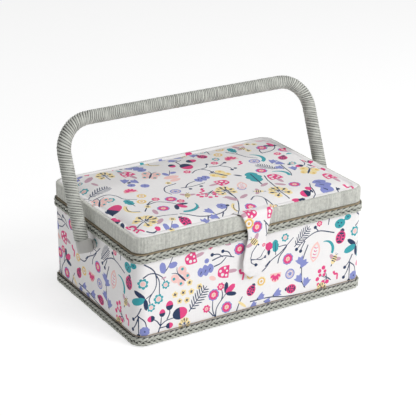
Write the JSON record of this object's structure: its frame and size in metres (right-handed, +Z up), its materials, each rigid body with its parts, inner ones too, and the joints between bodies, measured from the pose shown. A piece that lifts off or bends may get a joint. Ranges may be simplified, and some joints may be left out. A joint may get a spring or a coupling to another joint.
{
  "type": "sewing box",
  "caption": "Rectangular cloth-covered sewing box with braided trims, padded hinged lid with closing tab, swinging cord-wrapped handle and lift-out compartment trays.",
  "frame": {"origin": "middle of the underside, on the surface that the box stands on", "axes": "+Z up, +X to the right seen from the front, the front with the closing tab faces -Y"},
  "size_m": [0.3042, 0.1885, 0.1951],
  "materials": {
    "printed_cloth": "woven cotton, off-white with a scattered flower and leaf print",
    "lining_cloth": "plain woven cotton",
    "paper_cord": "twisted grey-green paper cord, plaited or wrapped",
    "twine": "thin tan twine and tape",
    "board": "pressed fibre board",
    "wadding": "polyester wadding",
    "grey_plastic": "smooth satin moulded plastic",
    "core_plastic": "extruded plastic rod",
    "tray_plastic": "thin moulded plastic",
    "steel": "nickel-plated steel",
    "elastic": "narrow knitted elastic"
  },
  "bodies": {
    "box": {"base_cover": "board", "bottom_board": "board", "front_wall": "board", "back_wall": "board", "left_wall": "board", "right_wall": "board", "corner_pieces": "board", "body_cloth": "printed_cloth", "side_lining": "lining_cloth", "floor_pad": "lining_cloth", "top_binding": "twine", "rim_braid": "paper_cord", "base_braid": "paper_cord", "base_twine": "twine", "front_ledge": "board", "back_ledge": "board", "catch_magnet": "steel", "left_pivot_bush": "grey_plastic", "right_pivot_bush": "grey_plastic", "left_hinge_body_leaf": "steel", "right_hinge_body_leaf": "steel", "left_hinge_pin": "steel", "right_hinge_pin": "steel", "body_hinge_screws": "steel"},
    "handle": {"handle_core": "core_plastic", "handle_wrap": "paper_cord", "left_end_cap": "grey_plastic", "right_end_cap": "grey_plastic", "left_push_nut": "steel", "right_push_nut": "steel"},
    "lid": {"lid_rim": "board", "lid_wrap": "paper_cord", "lid_board": "board", "lid_wadding": "wadding", "lid_cloth": "printed_cloth", "lid_lining": "lining_cloth", "lid_pocket": "lining_cloth", "pocket_elastic": "elastic", "pin_cushion": "lining_cloth", "left_hinge_lid_leaf": "steel", "right_hinge_lid_leaf": "steel", "lid_hinge_screws": "steel"},
    "tab": {"closing_tab": "printed_cloth", "tab_magnet": "steel"},
    "left_tray": {"left_tray": "tray_plastic"},
    "right_tray": {"right_tray": "tray_plastic"}
  },
  "joints": [
    {"name": "lid_hinge", "type": "hinge", "parent": "box", "child": "lid", "pos_m": [0, 0.0925, 0.0972], "axis": [-1, 0, 0], "range_deg": [0, 91]},
    {"name": "handle_swing", "type": "hinge", "parent": "box", "child": "handle", "pos_m": [0, -0.004, 0.0755], "axis": [-1, 0, 0], "range_deg": [0, 97]},
    {"name": "tab_flap", "type": "hinge", "parent": "lid", "child": "tab", "pos_m": [0, -0.0912, 0.1116], "axis": [-1, 0, 0], "range_deg": [0, 95]},
    {"name": "left_tray_lift", "type": "slide", "parent": "box", "child": "left_tray", "axis": [0, 0, 1], "range_m": [0, 0.0355]},
    {"name": "right_tray_lift", "type": "slide", "parent": "box", "child": "right_tray", "axis": [0, 0, 1], "range_m": [0, 0.0355]}
  ],
  "couplings": [
    {"joint": "handle_swing", "follows": "lid_hinge", "ratio": 1.06},
    {"joint": "left_tray_lift", "follows": "lid_hinge", "m_per_rad": 0.0215},
    {"joint": "right_tray_lift", "follows": "lid_hinge", "m_per_rad": 0.0215}
  ]
}
